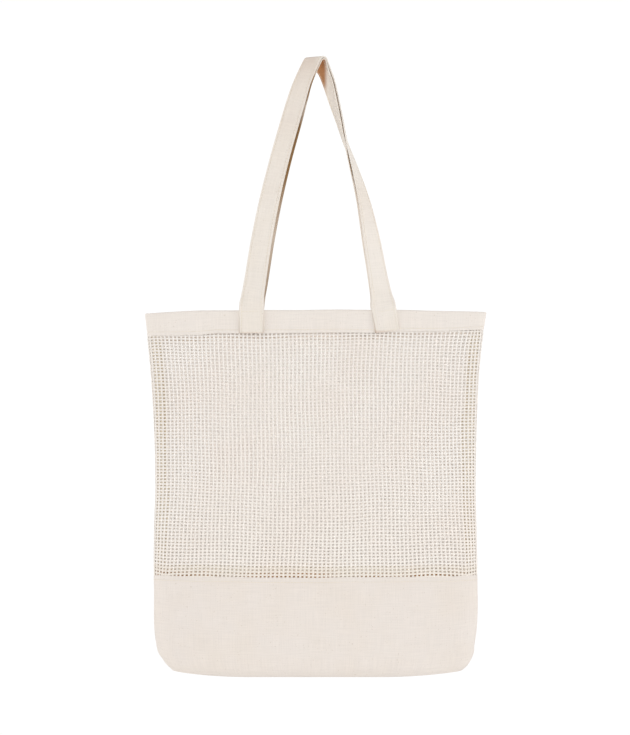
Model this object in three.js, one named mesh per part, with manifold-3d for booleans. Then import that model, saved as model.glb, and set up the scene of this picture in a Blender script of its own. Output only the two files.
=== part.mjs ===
// An empty cotton net tote that hangs by its two handles.
// Millimetres, +Z up, the front faces -Y. The origin is the underside of the handle fold,
// where a hook carries the bag.

import * as THREE from 'three';
import Module from 'manifold-3d';

const wasm = await Module();
wasm.setup();

// Cloth thicknesses, and the gap between sewn pieces
const netThickness = 1.2;
const canvasThickness = 1.6;
const bandWall = 1.0;
const strapThickness = 2.0;
const clearance = 0.3;

// Widths and overlaps
const strapWidth = 27.6;
const netTuck = 12; // net held inside the folded band
const bandCrest = 1.4; // cloth at the fold of the band
const turnUp = 12; // canvas of the base turned up behind the foot of the net
const turnUpThickness = 1.4;
const turnUpGrip = 8; // how far the turned edge is sewn down below the seam

// The fold over the hook: its inner radius, and how far the hook swings from the bag's width
const hookRadius = 3;
const hookTurn = 46;
const foldGap = 1.2; // between the two straps over the hook

// Facets: columns from side seam to side seam, how much they crowd at the seams, and how many rows
// or steps each stretch of cloth has
const columns = 24;
const seamCrowding = 0.6;
const outlineSteps = 600; // along a section, before it is shared out into columns
const bandRows = 2;
const netRows = 11;
const baseRowsPerSection = 2;
const strapSteps = 3;
const sewnSteps = 3;

// Body sections from the mouth down. halfWidth and halfDepth are the outer face of the cloth.
// across and ends are the exponents of |x/halfWidth|^across + |y/halfDepth|^ends = 1: ends near 1
// makes a sharp side seam, 2 a round side. The rises are how far the two ends lie above the middle.
const bodySections = [
  { z: -279.8, halfWidth: 187.9, halfDepth: 19.0, across: 2.0, ends: 1.5, leftRise: -3.9, rightRise: -2.0 },
  { z: -305.3, halfWidth: 186.2, halfDepth: 21.0, across: 2.0, ends: 1.5, leftRise: -1.7, rightRise: 1.8 },
  { z: -363.0, halfWidth: 182.2, halfDepth: 26.0, across: 2.1, ends: 1.55, leftRise: 0.0, rightRise: 0.5 },
  { z: -475.0, halfWidth: 179.3, halfDepth: 32.0, across: 2.3, ends: 1.7, leftRise: 1.0, rightRise: 1.0 },
  { z: -578.2, halfWidth: 180.9, halfDepth: 36.5, across: 2.5, ends: 1.8, leftRise: 1.2, rightRise: 1.2 },
  { z: -625.5, halfWidth: 180.6, halfDepth: 37.5, across: 2.7, ends: 1.9, leftRise: 4.5, rightRise: 4.5 },
  { z: -652.5, halfWidth: 178.9, halfDepth: 36.5, across: 3.0, ends: 2.1, leftRise: 5.5, rightRise: 5.5 },
  { z: -672.2, halfWidth: 174.2, halfDepth: 34.0, across: 4.0, ends: 2.5, leftRise: 6.2, rightRise: 6.2 },
  { z: -682.8, halfWidth: 168.0, halfDepth: 30.3, across: 5.5, ends: 3.2, leftRise: 6.5, rightRise: 6.5 },
  { z: -689.6, halfWidth: 161.8, halfDepth: 25.0, across: 8.0, ends: 4.0, leftRise: 6.4, rightRise: 6.4 },
];
const [mouth, bandFoot, , , baseSeam, , baseLower] = bodySections;
const floorEdge = bodySections.at(-1);
const levelMiddle = 0.45; // share of each half width that stays level before the ends rise

// Where the straps are sewn to the band
const strapSeats = {
  left: { footX: -71.6, topX: -71.5 },
  right: { footX: 80.0, topX: 75.7 },
};
const strapFoot = -304.5;
const strapLeavesBand = -276.0;

// The two straps between the band and the hook. turn is how far the width of the strap has swung
// from the bag's width, so each strap makes half a turn from its left end to its right end.
const leftLeg = [
  { z: -266, frontX: -70.4, frontY: -19.7, backX: -69.6, backY: 19.6, turn: 20 },
  { z: -246, frontX: -67.3, frontY: -18.7, backX: -65.6, backY: 17.6, turn: 27 },
  { z: -201, frontX: -60.3, frontY: -16.6, backX: -57.9, backY: 13.2, turn: 31.5 },
  { z: -156, frontX: -51.4, frontY: -14.6, backX: -48.7, backY: 8.4, turn: 35.5 },
  { z: -111, frontX: -40.4, frontY: -12.8, backX: -37.8, backY: 3.4, turn: 38 },
  { z: -66, frontX: -27.7, frontY: -10.9, backX: -25.4, backY: -2.4, turn: 38.5 },
  { z: -44, frontX: -21.2, frontY: -9.8, backX: -19.4, backY: -5.0, turn: 40 },
  { z: -24, frontX: -14.6, frontY: -8.6, backX: -13.1, backY: -5.9, turn: 44 },
];
const rightLeg = [
  { z: -24, frontX: 15.2, frontY: 7.8, backX: 12.0, backY: 6.0, turn: 62 },
  { z: -44, frontX: 21.6, frontY: 7.0, backX: 18.5, backY: 5.9, turn: 71 },
  { z: -67, frontX: 28.9, frontY: 5.2, backX: 25.5, backY: 4.8, turn: 82 },
  { z: -95, frontX: 36.0, frontY: 2.2, backX: 32.6, backY: 4.0, turn: 91 },
  { z: -123, frontX: 44.6, frontY: -1.2, backX: 41.6, backY: 3.6, turn: 102 },
  { z: -156, frontX: 54.0, frontY: -5.4, backX: 52.1, backY: 5.6, turn: 118 },
  { z: -201, frontX: 63.5, frontY: -11.2, backX: 62.2, backY: 10.4, turn: 134 },
  { z: -246, frontX: 71.5, frontY: -16.8, backX: 70.7, backY: 16.4, turn: 148 },
  { z: -266, frontX: 74.3, frontY: -19.2, backX: 73.8, backY: 19.2, turn: 158 },
];
const archAngles = [25, 57, 90, 123, 155]; // where each strap bends over the hook

const canvas = new THREE.MeshStandardMaterial({ color: '#eae2d9', roughness: 0.9, metalness: 0 });
const net = new THREE.MeshStandardMaterial({ color: '#f0e9df', roughness: 0.92, metalness: 0 });

// Closed solids

function solidFrom(points, triangles) {
  const vertProperties = new Float32Array(points.flatMap((p) => [p.x, p.y, p.z]));
  const triVerts = new Uint32Array(triangles.flat());
  return new wasm.Manifold(new wasm.Mesh({ numProp: 3, vertProperties, triVerts }));
}

function namedMesh(name, solid, material) {
  const { vertProperties, triVerts } = solid.getMesh();
  const geometry = new THREE.BufferGeometry();
  geometry.setAttribute('position', new THREE.BufferAttribute(new Float32Array(vertProperties), 3));
  geometry.setIndex(new THREE.BufferAttribute(new Uint32Array(triVerts), 1));
  geometry.computeVertexNormals();
  const mesh = new THREE.Mesh(geometry, material);
  mesh.name = name;
  return mesh;
}

// Sections of the body

function slopeAt(row, column) {
  const before = bodySections[Math.max(row - 1, 0)];
  const after = bodySections[Math.min(row + 1, bodySections.length - 1)];
  return (after[column] - before[column]) / (after.z - before.z);
}

// Every column of the table at a height, along smooth curves; above the mouth they run on straight.
function sectionAt(z) {
  const below = bodySections.findIndex((row) => row.z <= z);
  const lower = below < 0 ? bodySections.length - 1 : Math.max(below, 1);
  const upper = lower - 1;
  const span = bodySections[lower].z - bodySections[upper].z;
  const f = (z - bodySections[upper].z) / span;
  const section = { z };
  for (const column of ['halfWidth', 'halfDepth', 'across', 'ends', 'leftRise', 'rightRise']) {
    const from = bodySections[upper][column];
    const to = bodySections[lower][column];
    const pull = f < 0 ? 0 : f * (1 - f);
    const bend = (1 - f) * (slopeAt(upper, column) * span - (to - from));
    const counter = f * (to - from - slopeAt(lower, column) * span);
    section[column] = from + (to - from) * f + pull * (bend + counter);
  }
  return section;
}

// The front half of a section from the left seam to the right seam, at shares of its length that
// crowd towards the seams
function frontOutline(section) {
  const path = [];
  const run = [0];
  for (let i = 0; i <= outlineSteps; i += 1) {
    const angle = Math.PI * (1 - i / outlineSteps);
    const across = Math.cos(angle);
    const out = i % outlineSteps === 0 ? 0 : Math.sin(angle);
    const x = Math.sign(across) * section.halfWidth * Math.abs(across) ** (2 / section.across);
    path.push(new THREE.Vector2(x, -section.halfDepth * out ** (2 / section.ends)));
    if (i > 0) run.push(run[i - 1] + path[i].distanceTo(path[i - 1]));
  }
  const outline = [];
  for (let i = 0, k = 0; i <= columns; i += 1) {
    const even = i / columns;
    const crowded = (1 - Math.cos(Math.PI * even)) / 2;
    const target = run[outlineSteps] * THREE.MathUtils.lerp(even, crowded, seamCrowding);
    while (k < outlineSteps - 1 && run[k + 1] < target) k += 1;
    const f = THREE.MathUtils.clamp((target - run[k]) / (run[k + 1] - run[k]), 0, 1);
    outline.push(path[k].clone().lerp(path[k + 1], f));
  }
  return outline;
}

function outwardNormal(a, b) {
  return new THREE.Vector2(b.y - a.y, a.x - b.x).normalize();
}

// A closed ring round the body, moved inwards square to the cloth
function ringAt(z, inset, lift) {
  const section = sectionAt(z);
  const front = frontOutline(section);
  const back = front.slice(1, -1).reverse().map((p) => new THREE.Vector2(p.x, -p.y));
  const loop = [...front, ...back];
  return loop.map((p, i) => {
    const before = outwardNormal(loop.at(i - 1), p);
    const after = outwardNormal(p, loop[(i + 1) % loop.length]);
    const inwards = before.clone().add(after).multiplyScalar(-inset / (1 + before.dot(after)));
    const outer = Math.abs(p.x) / section.halfWidth;
    const curl = Math.max(0, (outer - levelMiddle) / (1 - levelMiddle)) ** 2;
    const rise = p.x < 0 ? section.leftRise : section.rightRise;
    return new THREE.Vector3(p.x + inwards.x, p.y + inwards.y, z + rise * curl + lift);
  });
}

// The body between the first and last height as a closed solid, moved in by inset. Towards the
// floor it is also lifted by the inset.
function bodySolid(heights, inset) {
  const ringSize = columns * 2;
  const points = heights.flatMap((z) => {
    const nearFloor = THREE.MathUtils.smoothstep(-z, -baseLower.z, -floorEdge.z);
    return ringAt(z, inset, inset * nearFloor);
  });
  const triangles = [];
  for (let r = 0; r < heights.length - 1; r += 1) {
    const upper = r * ringSize;
    const lower = upper + ringSize;
    for (let i = 0; i < ringSize; i += 1) {
      const j = (i + 1) % ringSize;
      triangles.push([upper + i, lower + i, lower + j], [upper + i, lower + j, upper + j]);
    }
  }
  // Strips from the front to the back close the top and the foot.
  const foot = (heights.length - 1) * ringSize;
  for (let i = 0; i < columns; i += 1) {
    const back = (ringSize - i) % ringSize;
    const nextBack = ringSize - i - 1;
    if (i < columns - 1) triangles.push([i, i + 1, nextBack], [foot + i, foot + nextBack, foot + i + 1]);
    if (i > 0) triangles.push([i, nextBack, back], [foot + i, foot + back, foot + nextBack]);
  }
  return solidFrom(points, triangles);
}

function heightsBetween(top, bottom, steps) {
  return Array.from({ length: steps + 1 }, (unused, i) => THREE.MathUtils.lerp(top, bottom, i / steps));
}

// A ring of cloth round the body, between two insets
function clothRing(heights, outerInset, innerInset) {
  const past = 4; // the hollow is cut out past both edges of the cloth
  const through = [heights[0] + past, ...heights, heights.at(-1) - past];
  return bodySolid(heights, outerInset).subtract(bodySolid(through, innerInset));
}

// Pieces of the body

const netInside = netThickness + clearance;

// A strip folded over the top of the net, open below
function topBand() {
  const heights = heightsBetween(mouth.z, bandFoot.z, bandRows);
  const strip = clothRing(heights, -clearance - bandWall, netInside + bandWall);
  const slotHeights = heightsBetween(mouth.z - bandCrest, bandFoot.z - bandWall, bandRows);
  return strip.subtract(clothRing(slotHeights, -clearance, netInside));
}

// A wall of net from inside the band down to the base, on one side of the side seams
function netWall(side) {
  const heights = heightsBetween(bandFoot.z + netTuck, baseSeam.z + clearance, netRows);
  const ring = clothRing(heights, 0, netThickness);
  return ring.trimByPlane([0, side, 0], clearance / 2);
}

// A tub with a boxed floor, its upper edge turned up behind the net
function baseTub() {
  const rows = bodySections.slice(bodySections.indexOf(baseSeam));
  const heights = [baseSeam.z];
  rows.slice(1).forEach((row, i) => {
    heights.push(...heightsBetween(rows[i].z, row.z, baseRowsPerSection).slice(1));
  });
  const above = baseSeam.z + turnUp;
  const tub = bodySolid(heights, 0).subtract(bodySolid([above, ...heights], canvasThickness));
  const turned = heightsBetween(above, baseSeam.z - turnUpGrip, bandRows);
  return tub.add(clothRing(turned, netInside, netInside + turnUpThickness));
}

// Straps

// A strap station sewn flat on the band, on the front or the back
function seatedStation(seat, z, side) {
  const f = (z - strapFoot) / (strapLeavesBand - strapFoot);
  const x = THREE.MathUtils.lerp(seat.footX, seat.topX, f);
  const { halfWidth, halfDepth, across, ends } = sectionAt(z);
  const depthAt = (u) => halfDepth * (1 - Math.abs(u / halfWidth) ** across) ** (1 / ends);
  const reach = 0.5; // to either side, for the slope of the band there
  const slope = Math.atan((depthAt(x + reach) - depthAt(x - reach)) / (2 * reach));
  const standOff = bandWall + clearance * 2 + strapThickness / 2;
  const y = side * (depthAt(x) + standOff / Math.cos(slope));
  const fromFront = THREE.MathUtils.radToDeg(side * slope);
  return { point: new THREE.Vector3(x, y, z), turn: x < 0 ? -fromFront : 180 - fromFront };
}

// The stations of one strap from its left end over the hook to its right end
function strapStations(side, radius) {
  const [x, y] = side < 0 ? ['frontX', 'frontY'] : ['backX', 'backY'];
  const legStation = (row) => ({ point: new THREE.Vector3(row[x], row[y], row.z), turn: row.turn });
  const swing = THREE.MathUtils.degToRad(hookTurn);
  const arch = archAngles.map((degrees) => {
    const angle = THREE.MathUtils.degToRad(degrees);
    const out = -radius * Math.cos(angle);
    const up = radius * Math.sin(angle) - hookRadius;
    return { point: new THREE.Vector3(out * Math.sin(swing), out * Math.cos(swing), up), turn: hookTurn };
  });
  const sewnHeights = heightsBetween(strapFoot, strapLeavesBand, sewnSteps);
  const sewn = (seat) => sewnHeights.map((z) => seatedStation(seat, z, side));
  return [
    ...sewn(strapSeats.left),
    ...leftLeg.map(legStation),
    ...arch,
    ...rightLeg.map(legStation),
    ...sewn(strapSeats.right).reverse(),
  ];
}

function strap(side, radius) {
  const stations = strapStations(side, radius);
  const route = new THREE.CatmullRomCurve3(stations.map((station) => station.point));
  const last = stations.length - 1;
  const points = [];
  for (let i = 0; i <= last * strapSteps; i += 1) {
    const share = i / (last * strapSteps);
    const row = Math.min(Math.floor(i / strapSteps), last - 1);
    const f = i / strapSteps - row;
    const turn = THREE.MathUtils.degToRad(
      THREE.MathUtils.lerp(stations[row].turn, stations[row + 1].turn, f),
    );
    const along = route.getTangent(share);
    const wide = new THREE.Vector3(Math.cos(turn), -Math.sin(turn), 0).projectOnPlane(along).normalize();
    const out = new THREE.Vector3().crossVectors(wide, along);
    for (const [w, t] of [[-1, -1], [1, -1], [1, 1], [-1, 1]]) {
      const corner = route.getPoint(share);
      corner.addScaledVector(wide, (w * strapWidth) / 2);
      points.push(corner.addScaledVector(out, (t * strapThickness) / 2));
    }
  }
  const triangles = [[0, 1, 2], [0, 2, 3]];
  for (let i = 0; i < last * strapSteps; i += 1) {
    for (let k = 0; k < 4; k += 1) {
      const a = i * 4 + k;
      const b = i * 4 + ((k + 1) % 4);
      triangles.push([a, a + 4, b + 4], [a, b + 4, b]);
    }
  }
  const end = last * strapSteps * 4;
  triangles.push([end, end + 2, end + 1], [end, end + 3, end + 2]);
  return solidFrom(points, triangles);
}

const innerStrapRadius = hookRadius + strapThickness / 2;
const outerStrapRadius = innerStrapRadius + strapThickness + foldGap;

const bag = new THREE.Group();
bag.add(
  namedMesh('top_band', topBand(), canvas),
  namedMesh('net_front', netWall(-1), net),
  namedMesh('net_back', netWall(1), net),
  namedMesh('base', baseTub(), canvas),
  namedMesh('handle_front', strap(-1, outerStrapRadius), canvas),
  namedMesh('handle_back', strap(1, innerStrapRadius), canvas),
);

export default bag;
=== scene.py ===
import math
import bpy
import numpy as np
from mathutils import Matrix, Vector


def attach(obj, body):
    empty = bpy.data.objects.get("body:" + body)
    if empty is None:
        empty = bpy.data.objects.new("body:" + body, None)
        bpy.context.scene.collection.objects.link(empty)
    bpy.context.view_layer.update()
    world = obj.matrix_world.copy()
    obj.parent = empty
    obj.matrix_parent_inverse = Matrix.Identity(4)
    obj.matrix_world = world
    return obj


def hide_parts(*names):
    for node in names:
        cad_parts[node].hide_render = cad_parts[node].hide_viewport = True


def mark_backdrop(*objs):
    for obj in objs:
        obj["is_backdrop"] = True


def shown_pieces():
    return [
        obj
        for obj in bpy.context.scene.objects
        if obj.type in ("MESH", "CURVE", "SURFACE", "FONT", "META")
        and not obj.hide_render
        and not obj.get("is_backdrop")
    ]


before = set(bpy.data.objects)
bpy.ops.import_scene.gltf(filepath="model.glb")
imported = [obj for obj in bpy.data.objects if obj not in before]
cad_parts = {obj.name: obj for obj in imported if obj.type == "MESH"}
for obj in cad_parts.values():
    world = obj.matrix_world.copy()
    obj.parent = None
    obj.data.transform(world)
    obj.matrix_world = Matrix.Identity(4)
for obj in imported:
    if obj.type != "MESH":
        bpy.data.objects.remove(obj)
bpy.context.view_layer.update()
bpy.ops.object.select_all(action="DESELECT")
print("frame loaded:", ", ".join(sorted(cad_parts)))

mm = 0.001
scene = bpy.context.scene

# Small helpers


def hexToLinear(hexColour):
    channels = [int(hexColour[i:i + 2], 16) / 255 for i in (1, 3, 5)]
    linear = [c / 12.92 if c <= 0.04045 else ((c + 0.055) / 1.055) ** 2.4 for c in channels]
    return (*linear, 1.0)


def addNode(tree, kind, settings, links):
    # settings: attributes and unlinked inputs; links: input to (node, output)
    node = tree.nodes.new(kind)
    for name, value in settings.items():
        if isinstance(name, int) or name in node.inputs:
            node.inputs[name].default_value = value
        else:
            setattr(node, name, value)
    for name, (source, output) in links.items():
        tree.links.new(source.outputs[output], node.inputs[name])
    return node


def newMaterial(name):
    material = bpy.data.materials.new(name)
    material.use_nodes = True
    material.node_tree.nodes.clear()
    return material


def dress(piece, material, replaced):
    piece.data.materials.clear()
    piece.data.materials.append(material)
    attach(piece, "root")
    if replaced:
        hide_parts(replaced)


# Camera: the bag straight from the front, far enough for a flat look

shot = {
    "middleX": -0.67, "middleZ": -344.0,  # mm, what the middle of the picture looks at
    "frameHeight": 823.2,                 # mm, seen at the bag's own depth
    "distance": 4000.0,
    "sensor": 36.0,
}


def makeCamera():
    camera = bpy.data.cameras.new("front_camera")
    camera.sensor_width = shot["sensor"]
    camera.lens = shot["sensor"] * shot["distance"] / shot["frameHeight"]
    holder = bpy.data.objects.new("front_camera", camera)
    holder.location = Vector((shot["middleX"], -shot["distance"], shot["middleZ"])) * mm
    holder.rotation_euler = (math.radians(90), 0, 0)
    scene.collection.objects.link(holder)
    scene.camera = holder


# Studio: a white backdrop all round, a pale floor below the hanging bag, lamps before and behind it

studio = {
    "floorZ": -1.0, "floorRadius": 2.2, "floorColour": "#fbfaf9",
    "backdropRadius": 9.0, "backdropGlow": 1.03,
    "ambient": 0.58, "ambientColour": "#fffefd",
    "lampAim": (0.0, 0.0, -0.35),
    "lamps": {  # place in m, size in m, power in W
        "front_fill": ((0.0, -4.05, -0.344), 0.04, 33.0),
        "back_fill": ((0.0, 4.05, -0.344), 0.04, 33.0),
        "front_left_softbox": ((-3.2, -1.2, 0.7), 1.4, 18.5),
        "front_right_softbox": ((3.2, -1.2, 0.7), 1.4, 22.0),
        "back_left_softbox": ((-3.2, 1.2, 0.7), 1.4, 18.0),
        "back_right_softbox": ((3.2, 1.2, 0.7), 1.4, 18.0),
    },
}


def makeStudio():
    bpy.ops.mesh.primitive_circle_add(vertices=96, radius=studio["floorRadius"], fill_type="NGON",
                                      location=(0, 0, studio["floorZ"]))
    floor = bpy.context.object
    floor.name = "studio_floor"
    paper = newMaterial("matt white paper")  # flat and even, with no gloss
    tree = paper.node_tree
    bsdf = addNode(tree, "ShaderNodeBsdfPrincipled", {
        "Base Color": hexToLinear(studio["floorColour"]), "Roughness": 0.95,
        "Specular IOR Level": 0.1}, {})
    addNode(tree, "ShaderNodeOutputMaterial", {}, {"Surface": (bsdf, "BSDF")})
    floor.data.materials.append(paper)

    bpy.ops.mesh.primitive_uv_sphere_add(radius=studio["backdropRadius"])
    backdrop = bpy.context.object
    backdrop.name = "studio_backdrop"
    panel = newMaterial("lit white backdrop")  # glows evenly, so the background stays white
    tree = panel.node_tree
    glow = addNode(tree, "ShaderNodeEmission", {"Strength": studio["backdropGlow"]}, {})
    addNode(tree, "ShaderNodeOutputMaterial", {}, {"Surface": (glow, "Emission")})
    backdrop.data.materials.append(panel)
    backdrop.visible_diffuse = False  # it's only looked at: the lamps and the room light the bag
    backdrop.visible_glossy = False
    backdrop.visible_transmission = False
    backdrop.visible_shadow = False
    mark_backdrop(floor, backdrop)

    world = bpy.data.worlds.new("soft white room")
    world.use_nodes = True
    background = world.node_tree.nodes["Background"]
    background.inputs["Color"].default_value = hexToLinear(studio["ambientColour"])
    background.inputs["Strength"].default_value = studio["ambient"]
    scene.world = world

    for name, (place, size, power) in studio["lamps"].items():
        softbox = bpy.data.lights.new(name, "AREA")
        softbox.shape = "SQUARE"
        softbox.size = size
        softbox.energy = power
        lamp = bpy.data.objects.new(name, softbox)
        lamp.visible_camera = False
        lamp.location = place
        aim = Vector(studio["lampAim"]) - lamp.location
        lamp.rotation_euler = aim.to_track_quat("-Z", "Y").to_euler()
        scene.collection.objects.link(lamp)
    scene.view_settings.view_transform = "Standard"
    scene.view_settings.look = "None"


makeCamera()
makeStudio()
print("camera and studio ready")

# Materials

waveRadians = 20  # in one unit of the wave texture
canvasLook = {
    "thread": 1.0,        # mm between threads; the real 0.6 is too fine to show
    "patch": 55.0,        # mm across the faint cloudy patches of unbleached cotton
    "slubLength": 26.0,   # mm along a thicker stretch of yarn
    "fleck": 1.6,         # mm, seed flecks left in the cotton
    "fleckColour": "#a58f6c",
    "relief": 0.16,       # mm between the top and the bottom of the weave
    "roughness": 0.93,
    "creaseShadeColour": "#94744f",  # painted shade in the deep creases: the gaps between the two straps and the edges of their sewn ends
}


def canvasMaterial(name, baseHex, patchHex, shadeHex):
    # Unbleached cotton canvas, plain woven: matt, softly cloudy, with slubs and seed flecks
    material = newMaterial(name)
    tree = material.node_tree
    perThread = 1 / (canvasLook["thread"] * mm)
    wavePerThread = 2 * math.pi * perThread / waveRadians
    cloth = addNode(tree, "ShaderNodeTexCoord", {}, {})
    cloudy = addNode(tree, "ShaderNodeTexNoise", {
        "Scale": 1 / (canvasLook["patch"] * mm), "Detail": 3.0, "Roughness": 0.55},
        {"Vector": (cloth, "Object")})
    cloudSpread = addNode(tree, "ShaderNodeMapRange", {
        "From Min": 0.35, "From Max": 0.65}, {"Value": (cloudy, "Fac")})
    tone = addNode(tree, "ShaderNodeMix", {
        "data_type": "RGBA", 6: hexToLinear(baseHex), 7: hexToLinear(patchHex)},
        {0: (cloudSpread, "Result")})
    shade = tone
    perSlub = 1 / (canvasLook["slubLength"] * mm)
    for scale in ((perThread, perSlub, 0), (perSlub, perThread, 0)):  # in the warp, then in the weft
        laid = addNode(tree, "ShaderNodeMapping", {"Scale": scale}, {"Vector": (cloth, "UV")})
        slub = addNode(tree, "ShaderNodeTexNoise", {"Scale": 1.0, "Detail": 1.0},
                       {"Vector": (laid, "Vector")})
        depth = addNode(tree, "ShaderNodeMapRange", {
            "From Min": 0.3, "From Max": 0.7, "To Min": 0.975, "To Max": 1.02},
            {"Value": (slub, "Fac")})
        shade = addNode(tree, "ShaderNodeMix", {
            "data_type": "RGBA", "blend_type": "MULTIPLY", 0: 1.0},
            {6: (shade, 2), 7: (depth, "Result")})
    flecks = addNode(tree, "ShaderNodeTexNoise", {
        "Scale": 1 / (canvasLook["fleck"] * mm), "Detail": 0.0}, {"Vector": (cloth, "Object")})
    sparse = addNode(tree, "ShaderNodeMapRange", {
        "From Min": 0.74, "From Max": 0.84, "To Min": 0.0, "To Max": 0.2},
        {"Value": (flecks, "Fac")})
    flecked = addNode(tree, "ShaderNodeMix", {
        "data_type": "RGBA", 7: hexToLinear(canvasLook["fleckColour"])},
        {0: (sparse, "Result"), 6: (shade, 2)})
    coloured = flecked
    # Painted shade: the warm shade and the dark crease shade that the mesh carries are mixed in
    for toneName, toneHex in (("paintedShade", shadeHex), ("creaseShade", canvasLook["creaseShadeColour"])):
        tone = addNode(tree, "ShaderNodeAttribute", {"attribute_name": toneName}, {})
        coloured = addNode(tree, "ShaderNodeMix", {
            "data_type": "RGBA", 7: hexToLinear(toneHex)}, {0: (tone, "Fac"), 6: (coloured, 2)})
    warp, weft = (addNode(tree, "ShaderNodeTexWave", {
        "bands_direction": direction, "Scale": wavePerThread}, {"Vector": (cloth, "UV")})
        for direction in "XY")
    overUnder = addNode(tree, "ShaderNodeTexChecker", {
        "Color1": (0, 0, 0, 1), "Color2": (1, 1, 1, 1), "Scale": perThread},
        {"Vector": (cloth, "UV")})
    weave = addNode(tree, "ShaderNodeMix", {}, {
        0: (overUnder, "Fac"), 2: (warp, "Fac"), 3: (weft, "Fac")})
    bump = addNode(tree, "ShaderNodeBump", {
        "Strength": 0.35, "Distance": canvasLook["relief"] * mm}, {"Height": (weave, 0)})
    bsdf = addNode(tree, "ShaderNodeBsdfPrincipled", {
        "Roughness": canvasLook["roughness"], "Specular IOR Level": 0.15, "IOR": 1.5,
        "Sheen Weight": 0.08, "Sheen Roughness": 0.6},
        {"Base Color": (coloured, 2), "Normal": (bump, "Normal")})
    addNode(tree, "ShaderNodeOutputMaterial", {}, {"Surface": (bsdf, "BSDF")})
    return material


# mm, apart from the roughness
yarnLook = {"twist": 2.4, "ply": 0.9, "patch": 70.0, "fuzz": 0.5, "relief": 0.12, "roughness": 0.95}


def yarnMaterial(name, baseHex, patchHex, shadeHex):
    # Soft cotton yarn, loosely twisted: matt, a little fuzzy, with slanting plies
    material = newMaterial(name)
    tree = material.node_tree
    yarn = addNode(tree, "ShaderNodeTexCoord", {}, {})
    cloudy = addNode(tree, "ShaderNodeTexNoise", {
        "Scale": 1 / (yarnLook["patch"] * mm), "Detail": 2.0}, {"Vector": (yarn, "Object")})
    spread = addNode(tree, "ShaderNodeMapRange", {
        "From Min": 0.35, "From Max": 0.65}, {"Value": (cloudy, "Fac")})
    tone = addNode(tree, "ShaderNodeMix", {
        "data_type": "RGBA", 6: hexToLinear(baseHex), 7: hexToLinear(patchHex)},
        {0: (spread, "Result")})
    # Painted shade: the warm shade that the mesh carries is mixed in
    edge = addNode(tree, "ShaderNodeAttribute", {"attribute_name": "paintedShade"}, {})
    coloured = addNode(tree, "ShaderNodeMix", {
        "data_type": "RGBA", 7: hexToLinear(shadeHex)}, {0: (edge, "Fac"), 6: (tone, 2)})
    slanted = addNode(tree, "ShaderNodeMapping", {
        "Rotation": (0, 0, math.atan2(yarnLook["ply"], yarnLook["twist"]))},
        {"Vector": (yarn, "UV")})
    plies = addNode(tree, "ShaderNodeTexWave", {
        "bands_direction": "X", "Scale": 2 * math.pi / waveRadians / (yarnLook["ply"] * mm)},
        {"Vector": (slanted, "Vector")})
    fuzz = addNode(tree, "ShaderNodeTexNoise", {
        "Scale": 1 / (yarnLook["fuzz"] * mm), "Detail": 2.0}, {"Vector": (yarn, "Object")})
    surface = addNode(tree, "ShaderNodeMath", {"operation": "ADD"}, {
        0: (plies, "Fac"), 1: (fuzz, "Fac")})
    bump = addNode(tree, "ShaderNodeBump", {
        "Strength": 0.5, "Distance": yarnLook["relief"] * mm}, {"Height": (surface, 0)})
    bsdf = addNode(tree, "ShaderNodeBsdfPrincipled", {
        "Roughness": yarnLook["roughness"], "Specular IOR Level": 0.1, "IOR": 1.5,
        "Sheen Weight": 0.12, "Sheen Roughness": 0.6},
        {"Base Color": (coloured, 2), "Normal": (bump, "Normal")})
    addNode(tree, "ShaderNodeOutputMaterial", {}, {"Surface": (bsdf, "BSDF")})
    return material


# Undyed cotton in its base, patch and painted shade colours: pale webbing, near white yarn; the seam
# yarn is a little darker, as painted shade between the layers
canvas = canvasMaterial("unbleached cotton canvas", "#efe7e0", "#eee5dc", "#c08a58")
bandCanvas = canvasMaterial("unbleached cotton binding", "#f3ece5", "#f2eae2", "#b8946a")
strapCanvas = canvasMaterial("unbleached cotton webbing", "#f3ece4", "#f2eae0", "#b27d50")
turnedCanvas = canvasMaterial("raw canvas edge", "#f3ebdd", "#f0e5d3", "#d0954e")
netYarn = yarnMaterial("cotton net yarn", "#fef9f4", "#fdf6f0", "#dcc7a0")
seamYarn = yarnMaterial("cotton seam yarn", "#f3e8d4", "#ecdec5", "#b89c74")
thread = yarnMaterial("cotton sewing thread", "#f2eadc", "#ebe0cc", "#d8c49c")
print("materials ready")

# The shape of the hanging body: a soft tube that is narrow at the mouth and boxed at the floor

# z, halfWidth, halfDepth, across, ends, leftRise, rightRise; mm, and the two exponents of the outline
bodySections = np.array([
    [-279.8, 187.9, 19.0, 2.0, 1.5, -3.9, -2.0],
    [-305.3, 186.2, 21.0, 2.0, 1.5, -1.7, 1.8],
    [-363.0, 182.2, 26.0, 2.1, 1.55, 0.0, 0.5],
    [-475.0, 179.3, 32.0, 2.3, 1.7, 1.0, 1.0],
    [-578.2, 180.9, 36.5, 2.5, 1.8, 1.2, 1.2],
    [-625.5, 180.6, 37.5, 2.7, 1.9, 4.5, 4.5],
    [-652.5, 178.9, 36.5, 3.0, 2.1, 5.5, 5.5],
    [-672.2, 174.2, 34.0, 4.0, 2.5, 6.2, 6.2],
    [-682.8, 168.0, 30.3, 5.5, 3.2, 6.5, 6.5],
    [-688.6, 161.8, 25.0, 8.0, 4.0, 6.4, 6.4],
])
# mm, and the share of the half width that hangs level
bodyShape = {"baseSeam": -578.2, "floor": -688.6, "levelMiddle": 0.45, "outlineSteps": 400}
lastRow = len(bodySections) - 1
rowAbove = bodySections[np.maximum(np.arange(lastRow + 1) - 1, 0)]
rowBelow = bodySections[np.minimum(np.arange(lastRow + 1) + 1, lastRow)]
sectionSlopes = (rowBelow - rowAbove) / (rowBelow[:, :1] - rowAbove[:, :1])


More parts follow.
